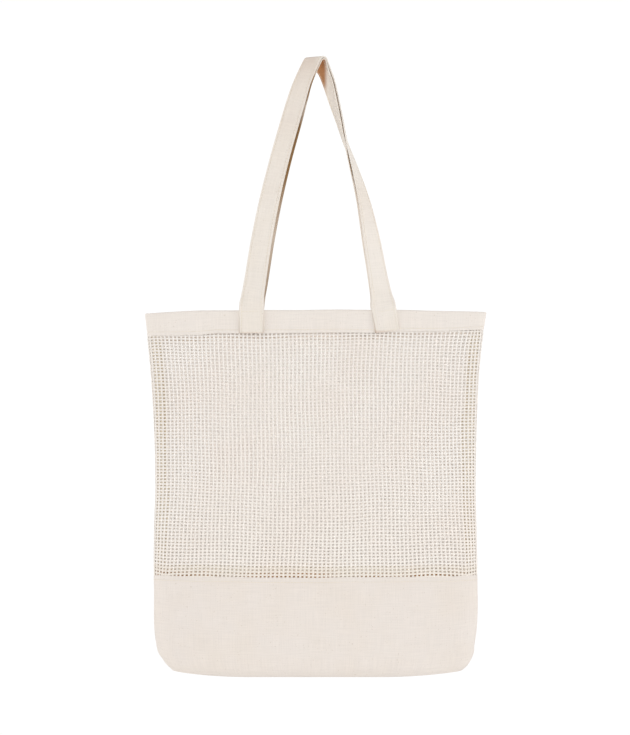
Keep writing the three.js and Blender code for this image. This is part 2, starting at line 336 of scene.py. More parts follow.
def sectionAt(z):
    lower = int(np.clip(np.searchsorted(-bodySections[:, 0], -z), 1, lastRow))
    start, end = bodySections[lower - 1], bodySections[lower]
    span = end[0] - start[0]
    f = (z - start[0]) / span
    pull = max(f, 0) * (1 - f)
    bend = (1 - f) * (sectionSlopes[lower - 1] * span - (end - start))
    counter = f * ((end - start) - sectionSlopes[lower] * span)
    return start + (end - start) * f + pull * (bend + counter)


def wallAt(z, shares, inset):
    # Points and outward normals at one height. Shares 0 to 1 run along the front from the left
    # seam to the right seam, and 1 to 2 back along the back.
    halfWidth, halfDepth, across, ends, leftRise, rightRise = sectionAt(z)[1:]
    steps = bodyShape["outlineSteps"]
    angle = np.linspace(math.pi, -math.pi, 2 * steps + 1)
    c, s = np.cos(angle), np.sin(angle)
    s[[0, steps, -1]] = 0
    x = np.sign(c) * halfWidth * np.abs(c) ** (2 / across)
    y = -np.sign(s) * halfDepth * np.abs(s) ** (2 / ends)
    run = np.concatenate([[0], np.cumsum(np.hypot(np.diff(x), np.diff(y)))])
    dx = np.roll(x[:-1], -1) - np.roll(x[:-1], 1)
    dy = np.roll(y[:-1], -1) - np.roll(y[:-1], 1)
    size = np.hypot(dx, dy)
    nx = np.append(dy / size, dy[0] / size[0])
    ny = np.append(-dx / size, -dx[0] / size[0])
    at = np.asarray(shares) * run[steps]
    px, py, outX, outY = (np.interp(at, run, values) for values in (x, y, nx, ny))
    size = np.maximum(np.hypot(outX, outY), 1e-9)
    outX, outY = outX / size, outY / size
    level = bodyShape["levelMiddle"]
    curl = np.maximum(0, (np.abs(px) / halfWidth - level) / (1 - level)) ** 2
    rise = np.where(px < 0, leftRise, rightRise) * curl
    points = np.stack([px - outX * inset, py - outY * inset, z + rise], axis=-1)
    normals = np.stack([outX, outY, np.zeros_like(outX)], axis=-1)
    return points, normals


frontLength = 2 * 189.5  # mm of cloth from seam to seam, for shares of a length


def ramp(values, start, end):
    return np.clip((values - start) / (end - start), 0, 1)


def tableAt(table, at):
    # Straight lines between the (place, value) pairs of a table
    return np.interp(at, *zip(*table))


def softWaves(a, b, waves):
    # Sum of plane waves: length mm, direction degrees, height mm, phase
    total = 0
    for length, direction, height, phase in waves:
        turn = math.radians(direction)
        total = total + height * np.sin(2 * math.pi / length
                                        * (a * math.cos(turn) + b * math.sin(turn)) + phase)
    return total


# Cloth sheets: a grid is added flat and every row is laid where the cloth hangs

sheetLook = {"weldReach": 0.02, "smoothAngle": 50}  # mm and degrees


def runAlong(points):
    # Length of cloth up to each point of a path, or up to each row of a sheet on average
    step = np.linalg.norm(np.diff(points, axis=0), axis=-1)
    step = step.reshape(len(step), -1).mean(axis=1)
    return np.concatenate([[0], np.cumsum(step)])


def flatPlace(across, up):
    # Where the columns and rows of a sheet lie on the flat cloth
    return np.stack(np.broadcast_arrays(across[None, :], up[:, None]), axis=-1)


def clothGrid(name, points, flat, tones):
    # points: rows x columns x 3 in mm; flat: the same points on the flat cloth, in mm;
    # tones: how much of a tone each point has, by attribute name
    rows, columns = points.shape[0] - 1, points.shape[1] - 1
    bpy.ops.mesh.primitive_grid_add(x_subdivisions=columns, y_subdivisions=rows, size=1)
    piece = bpy.context.object
    piece.name = piece.data.name = name
    mesh = piece.data
    added = np.empty(len(mesh.vertices) * 3)
    mesh.vertices.foreach_get("co", added)
    added = added.reshape(-1, 3).round(6)
    order = np.lexsort((added[:, 0], added[:, 1]))
    laid = np.empty((len(order), 3))
    laid[order] = points.reshape(-1, 3) * mm
    mesh.vertices.foreach_set("co", laid.ravel())
    onCloth = np.empty((len(order), 2))
    onCloth[order] = flat.reshape(-1, 2) * mm
    corner = np.empty(len(mesh.loops), int)
    mesh.loops.foreach_get("vertex_index", corner)
    mesh.uv_layers.active.data.foreach_set("uv", onCloth[corner].ravel())
    for toneName, amount in tones.items():
        values = np.empty(len(order))
        values[order] = amount.ravel()
        mesh.attributes.new(toneName, "FLOAT", "POINT").data.foreach_set("value", values)
    mesh.update()
    return piece


def weldSheet():
    # Joins the sheet that was just added where its edges meet
    bpy.ops.object.mode_set(mode="EDIT")
    bpy.ops.mesh.select_all(action="SELECT")
    bpy.ops.mesh.remove_doubles(threshold=sheetLook["weldReach"] * mm)
    bpy.ops.object.mode_set(mode="OBJECT")


def thicken(piece, thickness):
    wall = piece.modifiers.new("cloth thickness", "SOLIDIFY")
    wall.thickness = thickness * mm
    wall.offset = -1  # the modelled face is the outer one
    bpy.ops.object.modifier_apply(modifier=wall.name)
    bpy.ops.object.shade_smooth_by_angle(angle=math.radians(sheetLook["smoothAngle"]))


# Strands and stitches: rows of fine closed tubes, joined into one mesh

tubeLook = {"sides": 5}


def tubeMesh(name, bundles):
    # bundles: (centres, normals, halfWidths, halfDepths, tones), each strands x points, in mm; the
    # tones are shares of painted shade
    sides = tubeLook["sides"]
    vertices, faces, uvs, shadeAmounts = [], [], [], []
    start = 0
    turn = 2 * math.pi * np.arange(sides) / sides
    for centres, normals, halfWidth, halfDepth, tone in bundles:
        count, length = centres.shape[:2]
        shadeAmounts.append(np.repeat(np.broadcast_to(tone, (count, length)).ravel(), sides))
        along = np.gradient(centres, axis=1)
        along /= np.linalg.norm(along, axis=2, keepdims=True)
        across = np.cross(along, normals)
        across /= np.linalg.norm(across, axis=2, keepdims=True)
        out = np.cross(across, along)
        wide = np.broadcast_to(halfWidth, (count, length))[..., None, None]
        deep = np.broadcast_to(halfDepth, (count, length))[..., None, None]
        ring = (out[:, :, None] * deep * np.cos(turn)[:, None]
                + across[:, :, None] * wide * np.sin(turn)[:, None])
        vertices.append((centres[:, :, None] + ring).reshape(-1, 3))
        index = start + np.arange(count * length * sides).reshape(count, length, sides)
        nextRound = np.roll(index, -1, axis=2)
        quads = np.stack([index[:, :-1], nextRound[:, :-1], nextRound[:, 1:], index[:, 1:]], axis=-1)
        faces += quads.reshape(-1, 4).tolist()
        faces += index[:, 0, ::-1].tolist() + index[:, -1].tolist()
        run = np.linalg.norm(np.diff(centres, axis=1), axis=2).cumsum(axis=1)
        run = np.concatenate([np.zeros((count, 1)), run], axis=1)[:, :, None]
        girth = 2 * math.pi * float(np.mean(halfWidth)) * np.arange(sides + 1) / sides
        low = np.broadcast_to(run[:, :-1], (count, length - 1, sides))
        high = np.broadcast_to(run[:, 1:], low.shape)
        left = np.broadcast_to(girth[:-1], low.shape)
        right = np.broadcast_to(girth[1:], low.shape)
        corners = np.stack([left, low, right, low, right, high, left, high], axis=-1)
        uvs.append(corners.reshape(-1, 2))
        uvs.append(np.zeros((2 * count * sides, 2)))
        start += count * length * sides
    mesh = bpy.data.meshes.new(name)
    mesh.from_pydata((np.concatenate(vertices) * mm).tolist(), [], faces)
    mesh.uv_layers.new(name="UVMap").data.foreach_set("uv", (np.concatenate(uvs) * mm).ravel())
    toneLayer = mesh.attributes.new("paintedShade", "FLOAT", "POINT")
    toneLayer.data.foreach_set("value", np.concatenate(shadeAmounts))
    mesh.shade_smooth()
    piece = bpy.data.objects.new(name, mesh)
    scene.collection.objects.link(piece)
    return piece


# Net walls: pillars of yarn run down the wall, and finer yarn is laid in across them

netLook = {
    "columnPitch": 4.6, "rowPitch": 3.65,  # mm of one mesh
    "top": -297.0, "foot": -583.0,         # mm, tucked into the band and the base
    "pillarWidth": 1.2, "pillarDepth": 0.48,
    "laidWidth": 1.02, "laidDepth": 0.46,
    "knot": 0.12, "slack": 0.08,           # mm, stitch bulge and unevenness
    "pillarSlack": 0.6, "laidSlack": 0.7,  # shares of the slack from one mesh to the next
    "frontSwell": 0.2, "backSwell": -0.4,  # shares by which the yarn grows towards the foot
    "swellTop": -400.0, "swellFoot": -550.0,
    "laidTint": 0.05, "lowTint": 0.08,     # painted shade on the rows, as if in the shade behind the pillars; all yarn also gets duller near the foot
    "seed": 11,
    "backShift": 0.5,                      # meshes, so that the back's yarn fills the front's holes
    "seamIn": 0.4,                         # mm from the side seam to the outermost pillar
    "stripTint": 0.08, "footTint": 0.2,    # shares of painted warm shade where turned-in cloth lies behind
    "stripWidth": 17.0, "footTop": -566.0, "tintSoft": 4.0,
    "tuck": 2.2, "tuckTop": -574.0, "tuckFoot": -578.0,  # mm, the foot slips inside the base
}
# How the cloth's grid drifts, mm: length, direction, height, phase
netSway = {
    "sideways": [(260, 72, 0.8, 0.4), (150, 20, 0.5, 2.2), (90, 110, 0.35, 4.1)],
    "upDown": [(230, 8, 0.8, 1.0), (120, 60, 0.5, 3.0), (75, -20, 0.35, 0.2)],
    "backSideways": [(310, 95, 0.3, 1.7), (170, 35, 0.2, 5.2)],
    "backUpDown": [(240, -12, 0.25, 4.4), (140, 40, 0.15, 0.5)],
}
# The band holds the top corners wide, and the base seam puckers the net at the lower corners, mm
netPull = {
    "left": 3.2, "right": 6.5, "wideAt": 15.0, "wideDepth": 20.0, "still": 20.0,
    "pucker": ((-2.4, 21.0, 10.0), (1.3, 60.0, 20.0)),  # rise of the rows, its place and its width
    "fan": (3.0, 32.0, 24.0),                           # the same for the columns, outwards
    "puckerDepth": 16.0,
}


def netDrift(x, z, side):
    # Sideways and upward drift of the cloth's grid at x on the cloth and height z
    sideways = softWaves(x, z, netSway["sideways"])
    upDown = softWaves(x, z, netSway["upDown"])
    if side > 0:
        sideways = sideways + softWaves(x, z, netSway["backSideways"])
        upDown = upDown + softWaves(x, z, netSway["backUpDown"])
    fromSeam = frontLength / 2 - np.abs(x)
    spread = fromSeam / netPull["wideAt"] * np.exp(1 - fromSeam / netPull["wideAt"])
    fall = math.exp(min(0.0, z - netLook["top"]) / netPull["wideDepth"])
    sideways = sideways + np.where(x > 0, netPull["right"], -netPull["left"]) * spread * fall
    rise = math.exp(min(0.0, netLook["foot"] - z) / netPull["puckerDepth"])

    def pulled(height, middle, width):
        return height * rise * np.exp(-((fromSeam - middle) / width) ** 2)

    for pucker in netPull["pucker"]:
        upDown = upDown + pulled(*pucker)
    sideways = sideways + np.sign(x) * pulled(*netPull["fan"])
    return sideways * np.clip(fromSeam / netPull["still"], 0, 1), upDown


# z, left, right: mm that the side seams stand out past the smooth wall, most under the band's ends
seamOut = np.array([
    [-583, 0.0, 0.0], [-560, 0.8, 0.5], [-520, 1.3, 0.5], [-480, 0.3, 0.1], [-440, 0.3, 0.1],
    [-390, 1.0, 0.0], [-352, 2.0, 0.2], [-319, 2.6, 1.0], [-309, 2.6, 1.8], [-297, 1.0, 1.0],
])
seamReach = 9.0  # mm from the seam over which the push dies away


def seamPush(z, right):
    return float(np.interp(z, seamOut[:, 0], seamOut[:, 2 if right else 1]))


def towardsBack(points, normals):
    # The same wall at the back, a little wider and taller, so that both nets line up from the front
    grow = (shot["distance"] - points[..., 1:2]) / (shot["distance"] + points[..., 1:2])
    middle = np.array([shot["middleX"], 0, shot["middleZ"]])
    return middle + (points - middle) * (grow * (1, 0, 1) + (0, -1, 0)), normals * (1, -1, 1)


def tuckFoot(points, normals):
    under = ramp(points[..., 2:], netLook["tuckTop"], netLook["tuckFoot"])
    return points - normals * netLook["tuck"] * under


def netTint(x, z):
    # Painted shade: warm where turned-in cloth lies behind the yarn, and duller towards the foot
    soft = netLook["tintSoft"]
    strip = frontLength / 2 - netLook["stripWidth"]
    onStrip = netLook["stripTint"] * ramp(np.abs(x), strip - soft, strip)
    onFoot = netLook["footTint"] * ramp(z, netLook["footTop"] + soft, netLook["footTop"])
    onLow = netLook["lowTint"] * ramp(z, netLook["swellTop"], netLook["swellFoot"])
    return np.maximum(np.maximum(onStrip, onFoot), onLow)


def fuller(z, side):
    swell = netLook["frontSwell"] if side < 0 else netLook["backSwell"]
    return 1 + swell * ramp(z, netLook["swellTop"], netLook["swellFoot"])


def netBundles(side, x, rowEnds, heights, inset, seed, toneAt):
    # The pillars at x along the cloth and the laid-in yarns at the heights, of one piece of net
    rng = np.random.default_rng(seed)
    slack = netLook["slack"]
    fine = np.linspace(heights[0], heights[-1], 2 * (len(heights) - 1) + 1)
    laneJitter = rng.normal(0, slack, len(x))
    rowJitter = rng.normal(0, slack, len(heights))
    ends = np.concatenate([rowEnds[:1], x, rowEnds[1:]])

    def laidRow(z, along, depth):
        shares = np.clip(along / frontLength + 0.5, 0, 1)
        points, normals = wallAt(z, shares, depth)
        push = np.exp(-np.minimum(shares, 1 - shares) * frontLength / seamReach)
        points[:, 0] += push * np.where(along > 0, seamPush(z, True), -seamPush(z, False))
        return points, normals

    pillars, laid = [], []
    for z in fine:
        sideways, upDown = netDrift(x, z, side)
        along = x + sideways + laneJitter + rng.normal(0, slack * netLook["pillarSlack"], len(x))
        points, normals = laidRow(z, along, inset + netLook["pillarDepth"])
        points[:, 2] += upDown
        pillars.append((points, normals))
    for z, jitter in zip(heights, rowJitter):
        sideways, upDown = netDrift(ends, z, side)
        points, normals = laidRow(z, ends + sideways, inset + netLook["pillarDepth"])
        points[:, 2] += upDown + jitter + rng.normal(0, slack * netLook["laidSlack"], len(ends))
        laid.append((points, normals))
    bulge = netLook["knot"] * np.where(np.arange(len(fine)) % 2 == 0, 1, -1)
    pillarWidth = (netLook["pillarWidth"] + bulge) * fuller(fine, side)
    laidWidth = (netLook["laidWidth"] * fuller(heights, side))[:, None]
    pillarPoints, pillarOut = (np.stack(rows, axis=1) for rows in zip(*pillars))
    laidPoints, laidOut = (np.stack(rows) for rows in zip(*laid))
    if side > 0:
        pillarPoints, pillarOut = towardsBack(pillarPoints, pillarOut)
        laidPoints, laidOut = towardsBack(laidPoints, laidOut)
        pillarPoints, laidPoints = tuckFoot(pillarPoints, pillarOut), tuckFoot(laidPoints, laidOut)
    pillarTone = toneAt(x[:, None], fine[None, :])
    laidTone = np.maximum(toneAt(ends[None, :], heights[:, None]), netLook["laidTint"])
    return [
        (pillarPoints, pillarOut, pillarWidth, netLook["pillarDepth"], pillarTone),
        (laidPoints, laidOut, laidWidth, netLook["laidDepth"], laidTone),
    ]


def netGrid(side):
    # Where the pillars and rows of one side lie: x along the cloth from its middle, and height
    columnPitch, rowPitch = netLook["columnPitch"], netLook["rowPitch"]
    x = (np.arange(frontLength // columnPitch) - (frontLength // columnPitch - 1) / 2) * columnPitch
    heights = np.arange(netLook["top"], netLook["foot"], -rowPitch)
    if side > 0:
        shift = netLook["backShift"]
        return x[:-1] + shift * columnPitch, heights[:-1] - shift * rowPitch
    return x, heights


def makeNet(name, side, node):
    x, heights = netGrid(side)
    seam = np.array([-frontLength / 2, frontLength / 2])
    if side < 0:
        edge = seam[1] - netLook["seamIn"]
        x = np.concatenate([[-edge], x, [edge]])
    net = tubeMesh(name, netBundles(side, x, seam, heights, 0.0, netLook["seed"] + side, netTint))
    dress(net, netYarn, node)


# Seam allowances of the net, turned in along both sides and seen through the front

seamLook = {
    "lanes": (3, 4), "widens": (-481.0, -397.0),  # columns above and below that height, left and right
    "inset": 1.1, "overhang": 1.0, "seed": 31,
    "shift": 0.5,                          # meshes, beside the columns and rows of the front
    "tones": (0.1, 0.1, 0.15, 0.4),        # painted shade, darker towards the raw edge
    "foot": -564.5,                        # mm, ends at the base's turned-up edge
}


def seamPatch(side, count, rows):
    # The columns and rows of one stretch of the allowance
    lanes = netGrid(-1)[0][:count] + seamLook["shift"] * netLook["columnPitch"]
    tones = np.array(seamLook["tones"][-count:])
    if side > 0:
        lanes = -lanes[::-1]
        tones = tones[::-1]
    rowEnds = lanes[[0, -1]] + seamLook["overhang"] * np.array([-1, 1])

    def laneTone(across, z):
        return np.interp(across, lanes, tones)

    return netBundles(-1, lanes, rowEnds, rows, seamLook["inset"], seamLook["seed"] + count, laneTone)


def makeSideSeam(name, side):
    rows = netGrid(-1)[1] - seamLook["shift"] * netLook["rowPitch"]
    rows = rows[rows > seamLook["foot"]]
    widens = seamLook["widens"][0 if side < 0 else 1]
    narrow, wide = seamLook["lanes"]
    bundles = seamPatch(side, narrow, rows[rows > widens - netLook["rowPitch"]])
    bundles += seamPatch(side, wide, rows[rows <= widens])
    seam = tubeMesh(name, bundles)
    dress(seam, seamYarn, None)


# Base: one canvas sheet, folded at its upper edge and boxed at the floor

baseLook = {
    "columns": 220, "thickness": 1.1,
    "hem": [(-590.0, 1.9), (-579.7, 1.9), (-577.9, 1.75), (-577.1, 1.3), (-576.8, 0.7), (-577.1, 0.1),
            (-577.9, -0.25)],              # (height, inset) of the fold, from the inner edge outwards
    "belowFold": 1.2, "wallRows": 46, "floorRows": 8, "floorRise": 0.4,
    "bulge": 0.35, "bulgeTop": -582.0, "bulgeFoot": -600.0,  # mm, the wall stands out over the hem
    "waves": [(150, 25, 0.4, 0.6), (95, 80, 0.2, 2.4), (60, -40, 0.1, 4.0), (230, 60, 0.5, 1.3)],
    "seamWaves": [(180, 0, 0.35, 0.5), (67, 0, 0.2, 2.0)],  # the seam isn't quite straight
    "backPhase": 40.0,                     # mm, so that front and back don't wave alike
    "waveFade": 25.0, "seamFade": 40.0, "floorFade": 22.0,  # mm over which the waves come and go
    "cornerX": 160.0, "cornerZ": -672.0, "cornerReach": 42.0, "cornerFold": 0.7,
    "cornerRays": 5, "cornerPhase": 0.6, "cornerCalm": 12.0,  # folds that run from each boxed corner
    "cornerOut": [(-662, 0, 0), (-669, -0.2, 1.2), (-680, -1.1, 2.8), (-686, -2.0, 2.6),
                  (-689, -1.5, 2.0)],      # z, left, right: mm that each boxed corner stands out
    "cornerFrom": 115.0,
    "stitchZ": -582.4, "stitchInset": -0.3,
}


def baseFace(z, shares, inset):
    # The outer face of the canvas with its soft waves and the pull of the boxed corners
    points, normals = wallAt(z, shares, inset)
    cornerZ, leftOut, rightOut = (column[::-1] for column in zip(*baseLook["cornerOut"]))
    out = np.where(points[:, 0] > 0, np.interp(z, cornerZ, rightOut), -np.interp(z, cornerZ, leftOut))
    points[:, 0] += out * ramp(np.abs(points[:, 0]), baseLook["cornerFrom"], baseLook["cornerX"]) ** 2
    x = points[:, 0]
    down = np.clip((bodyShape["baseSeam"] - z) / baseLook["waveFade"], 0, 1)
    side = np.sign(points[:, 1]) * baseLook["backPhase"]
    wave = softWaves(x + side, z, baseLook["waves"]) * down
    toCornerX = np.abs(x) - baseLook["cornerX"]
    toCornerZ = z - baseLook["cornerZ"]
    reach = np.hypot(toCornerX, toCornerZ)
    rays = np.sin(baseLook["cornerRays"] * np.arctan2(toCornerZ, toCornerX) + baseLook["cornerPhase"])
    fold = np.exp(-reach / baseLook["cornerReach"]) * rays
    push = wave + baseLook["cornerFold"] * fold * down * np.clip(reach / baseLook["cornerCalm"], 0, 1)
    nearFloor = np.clip((z - bodyShape["floor"]) / baseLook["floorFade"], 0, 1)
    points = points + normals * (push * nearFloor)[:, None]
    fade = baseLook["seamFade"]
    nearSeam = np.clip((z - bodyShape["baseSeam"] + fade) / fade, 0, 1)
    points[:, 2] += softWaves(x + side, 0, baseLook["seamWaves"]) * nearSeam
    return points, normals


def makeBase():
    shares = np.linspace(0, 2, baseLook["columns"] + 1)
    wallTop = baseLook["hem"][-1][0] - baseLook["belowFold"]
    rows = [baseFace(z, shares, inset)[0] for z, inset in baseLook["hem"]]
    for z in np.linspace(wallTop, bodyShape["floor"], baseLook["wallRows"]):
        bulge = baseLook["bulge"] * ramp(z, baseLook["bulgeFoot"], baseLook["bulgeTop"])
        rows.append(baseFace(z, shares, -bulge)[0])
    floorRing = rows[-1]
    for i in range(1, baseLook["floorRows"] + 1):
        towardsMiddle = floorRing.copy()
        towardsMiddle[:, 1] *= 1 - i / baseLook["floorRows"]
        towardsMiddle[:, 2] += baseLook["floorRise"] * math.sin(math.pi * i / baseLook["floorRows"])
        rows.append(towardsMiddle)
    points = np.stack(rows)[::-1]
    base = clothGrid("canvas_base", points, flatPlace(shares * frontLength, runAlong(points)), {})
    weldSheet()
    thicken(base, baseLook["thickness"])
    dress(base, canvas, "base")


# The base's allowance, turned up inside behind the foot of the net

turnUpLook = {
    "foot": -589.0, "top": -566.2, "rows": 14, "columns": 160, "thickness": 0.8,
    "inset": 2.9, "lean": 1.3, "leanFoot": -577.0, "leanTop": -572.0,  # it leans against the net
    "ruffle": [(38, 0, 0.13, 0.3), (61, 10, 0.17, 1.9)],
    "drop": 3.2, "dropFrom": 30.0, "dropTo": 130.0,  # mm, the raw edge is lower towards the right
    "shadeAmount": 0.8, "shadeTop": -569.0, "shadeFoot": -575.0,  # share of painted warm shade at the foot
    "shadeWaves": [(150, 0, 0.5, 0.9), (64, 0, 0.35, 2.0)],  # it is uneven along the seam
}


def makeTurnUp():
    shares = np.linspace(0, 2, turnUpLook["columns"] + 1)
    heights = np.linspace(turnUpLook["foot"], turnUpLook["top"], turnUpLook["rows"])
    along = shares * frontLength
    points = []
    for z in heights:
        lean = turnUpLook["lean"] * ramp(z, turnUpLook["leanFoot"], turnUpLook["leanTop"])
        row, normals = wallAt(z, shares, turnUpLook["inset"] - lean)
        row = row - normals * softWaves(along, z, turnUpLook["ruffle"])[:, None]
        drop = turnUpLook["drop"] * ramp(row[:, 0], turnUpLook["dropFrom"], turnUpLook["dropTo"])
        row[:, 2] -= drop * ramp(z, turnUpLook["leanFoot"], turnUpLook["top"])
        points.append(row)
    # Painted warm shade, strongest at the foot
    shadeAmount = turnUpLook["shadeAmount"] * ramp(heights, turnUpLook["shadeTop"], turnUpLook["shadeFoot"])
    shadeAmount = shadeAmount[:, None] * (1 + softWaves(along, 0, turnUpLook["shadeWaves"]))
    turnUp = clothGrid("base_turn_up", np.stack(points), flatPlace(along, heights), {"paintedShade": shadeAmount})
    weldSheet()
    thicken(turnUp, turnUpLook["thickness"])
    dress(turnUp, turnedCanvas, None)


# Band: a strip folded over the mouth, its outer edge turned under and stitched down

bandLook = {
    "columns": 220, "thickness": 0.8,
    "profile": [(-301.5, -0.25), (-304.9, -0.3), (-305.5, -0.75), (-305.2, -1.3), (-304.0, -1.6),
                (-302.6, -1.5), (-301.7, -1.15), (-300.8, -1.35), (-298.0, -1.45), (-293.0, -1.4),
                (-288.0, -1.35), (-284.0, -1.35), (-282.0, -1.3), (-280.8, -1.0), (-280.0, -0.35),
                (-279.8, 0.6), (-280.0, 1.55), (-280.8, 2.2), (-282.0, 2.5), (-286.0, 2.6),
                (-293.0, 2.7), (-302.0, 2.6), (-304.0, 2.4), (-311.0, 1.8)],  # (z, inset), hem to hem
    "stitchZ": -301.7, "stitchInset": -1.15,
    "innerEdgeShade": 0.4,                        # share of painted warm shade at the inner edge
    "waves": [(170, 0, 0.35, 0.8), (96, 20, 0.22, 2.9), (61, -10, 0.12, 0.3)],
    "lift": [(210, 0, 0.30, 1.1), (77, 0, 0.15, 3.2)],
    "corner": 1.9, "cornerFoot": 0.3,      # mm that the ends stand out, at the mouth and at the hem
    "cornerWidth": 7.0, "backDrop": 0.9,
    "mouth": -279.8, "hem": -305.5,        # mm, the heights of those two
    # (x, rise) of the hem, which isn't sewn straight
    "hemLine": [(-190, -1.0), (-160, -1.8), (-130, -2.2), (-112, 0), (70, 0), (95, 1.5), (190, 2.0)],
}


def bandFace(z, shares, inset):
    points, normals = wallAt(z, shares, inset)
    along = shares * frontLength
    points = points + normals * softWaves(along, z, bandLook["waves"])[:, None]
    points[:, 2] += softWaves(along, 0, bandLook["lift"])
    points[:, 2] -= bandLook["backDrop"] * np.sin(math.pi * np.clip(shares - 1, 0, 1)) ** 0.5
    fromSeam = np.minimum(np.abs(shares - 1), np.minimum(shares, 2 - shares)) * frontLength
    up = (z - bandLook["hem"]) / (bandLook["mouth"] - bandLook["hem"])
    points[:, 2] += tableAt(bandLook["hemLine"], points[:, 0]) * np.clip(1 - up, 0, 1)
    corner = bandLook["cornerFoot"] + (bandLook["corner"] - bandLook["cornerFoot"]) * up
    points[:, 0] += np.sign(points[:, 0]) * corner * np.exp(-fromSeam / bandLook["cornerWidth"])
    return points, normals


def makeBand():
    shares = np.linspace(0, 2, bandLook["columns"] + 1)
    points = np.stack([bandFace(z, shares, inset)[0] for z, inset in bandLook["profile"]])
    flat = flatPlace(shares * frontLength, runAlong(points))
    # Painted warm shade along the inner edge, seen through the net below the hem
    innerEdgeShade = np.zeros(points.shape[:2])
    innerEdgeShade[-1] = bandLook["innerEdgeShade"]
    band = clothGrid("canvas_band", points, flat, {"paintedShade": innerEdgeShade})
    weldSheet()
    thicken(band, bandLook["thickness"])
    dress(band, bandCanvas, "top_band")


# Straps: each runs from the band up over the hook and back down, making half a turn

strapLook = {
    "width": 27.6, "thickness": 1.9, "steps": 9, "smoothAngle": 60,
    "stitchIn": 3.0, "stitchDent": 0.22, "dentWidth": 0.8,
    "dentReach": 1.4, "flatReach": 6.0,    # mm, points beside each dent and between the two
    "edgeAngles": (60, 30, 0, -30, -60),   # degrees round the edge
    "leavesBand": -276.0, "sewnSteps": 3,
    "crossAt": (0.11, 2.45),               # stations from each end where a stitch line runs across
    "hookRadius": 3.0, "hookTurn": 46.0, "foldGap": 0.4,
    "archAngles": (25, 57, 90, 123, 155),  # degrees round the hook
    "shadeTop": -26.0, "shadeFoot": -40.0,   # mm, heights where the painted warm shade in the fold thins out
    "shadeX": 9.5, "shadeEndX": 13.5,        # mm, and where it does so towards the front edge
    "topShade": [(-165, 0), (-150, 0.035), (-90, 0.035), (-70, 0.09), (-45, 0.06), (-15, 0.13),
                (-2, 0.24)],               # (z, share) of painted shade up the left leg, darker towards the top
    "topShadeX": -2.0, "topShadeEndX": 6.0,  # mm, where that thins out towards the right
    "rightShade": [(-195, 0), (-172, 0.05), (-150, 0.05), (-132, 0)],  # (z, share) of painted shade up the right leg, where its face turns away
    "creaseIn": 4.0, "creaseSoft": 1.2,    # mm in from the front edge that the painted crease shade reaches
    "round": 0.9, "facing": 2,             # share of the thickness that is edge; how sharply it turns
    "leftCrease": [(-280, 0), (-262, 0.75), (-225, 0.65), (-200, 0.5), (-165, 0.7), (-130, 1),
                   (-75, 1), (-66, 0.7), (-52, 0.4), (-40, 0.95), (-22, 1), (-9, 0)],  # (z, strength)
    "rightCrease": [(-170, 0.1), (-140, 0.25), (-131, 0.5), (-122, 1), (-108, 1), (-101, 0.5),
                    (-97, 0.1), (-88, 0.1), (-84, 1), (-28, 1), (-9, 0.3)],
    "footLines": {"left": (0.35, 0.3), "right": (0.5, 0.25)},  # painted shade along the edges of each sewn end
    "footLineTop": -278.0, "rimIn": 1.5, "rimSoft": 0.8,  # mm, how far up and in those lines reach
    "hemShade": 0.25, "hemShadeDepth": 1.5,  # painted warm shade along the cut hem
    "seats": {"left": (-71.6, -71.5, -305.8),  # x at the foot and at the top, z of the foot
              "right": (80.2, 75.7, -303.7)},
    "standOff": 2.6,
    "pinch": {-95: 2.0},                   # degrees that each strap turns towards the other, by height
}
# z, frontX, frontY, backX, backY in mm, and the turn of the width in degrees
leftLeg = [
    (-266, -70.4, -19.7, -69.6, 19.6, 20), (-246, -67.3, -18.7, -65.6, 17.6, 27),
    (-201, -60.3, -16.6, -57.9, 13.2, 31.5), (-156, -51.4, -14.6, -48.7, 8.4, 35.5),
    (-111, -40.4, -12.8, -37.8, 3.4, 38), (-66, -27.7, -10.9, -25.4, -2.4, 38.5),
    (-44, -21.2, -9.8, -19.4, -5.0, 40), (-24, -14.6, -8.6, -13.1, -5.9, 44),
]
rightLeg = [
    (-12.5, 11.5, 6.5, 8.8, 4.8, 63),
    (-24, 16.0, 7.8, 13.5, 6.1, 66), (-44, 21.6, 7.0, 19.2, 5.9, 71),
    (-67, 28.2, 5.2, 25.7, 4.8, 79.5), (-95, 36.3, 2.2, 33.2, 4.0, 91.5),
    (-123, 45.0, -1.2, 42.3, 3.6, 105), (-156, 54.0, -5.4, 52.1, 5.6, 118),
    (-201, 62.8, -11.2, 61.5, 10.4, 133), (-246, 70.6, -16.8, 69.9, 16.4, 141),
    (-266, 74.2, -19.2, 73.7, 19.2, 153),
]


def seatedStation(seat, z, side):
    # A point of the strap sewn flat on the band, and the turn of its width there
    f = (z - seat[2]) / (strapLook["leavesBand"] - seat[2])
    x = seat[0] + (seat[1] - seat[0]) * f
    halfWidth, halfDepth, across, ends = sectionAt(z)[1:5]

    def depthAt(u):
        return halfDepth * (1 - abs(u / halfWidth) ** across) ** (1 / ends)

    reach = 0.5  # mm to either side
    slope = math.atan((depthAt(x + reach) - depthAt(x - reach)) / (2 * reach))
    y = side * (depthAt(x) + strapLook["standOff"] / math.cos(slope))
    fromFront = math.degrees(side * slope)
    return (x, y, z, -fromFront if x < 0 else 180 - fromFront)


def strapStations(side, radius):
    column = 1 if side < 0 else 3
    swing = math.radians(strapLook["hookTurn"])
    arch = []
    for degrees in strapLook["archAngles"]:
        out = -radius * math.cos(math.radians(degrees))
        up = radius * math.sin(math.radians(degrees)) - strapLook["hookRadius"]
        arch.append((out * math.sin(swing), out * math.cos(swing), up, strapLook["hookTurn"]))
    pinch = strapLook["pinch"]
    legs, sewn = [], []
    for leg, seat in zip((leftLeg, rightLeg), strapLook["seats"].values()):
        legs.append([(r[column], r[column + 1], r[0], r[5] - side * pinch.get(r[0], 0)) for r in leg])
        heights = np.linspace(seat[2], strapLook["leavesBand"], strapLook["sewnSteps"] + 1)
        sewn.append([seatedStation(seat, z, side) for z in heights])
    return np.array(sewn[0] + legs[0] + arch + legs[1] + sewn[1][::-1])


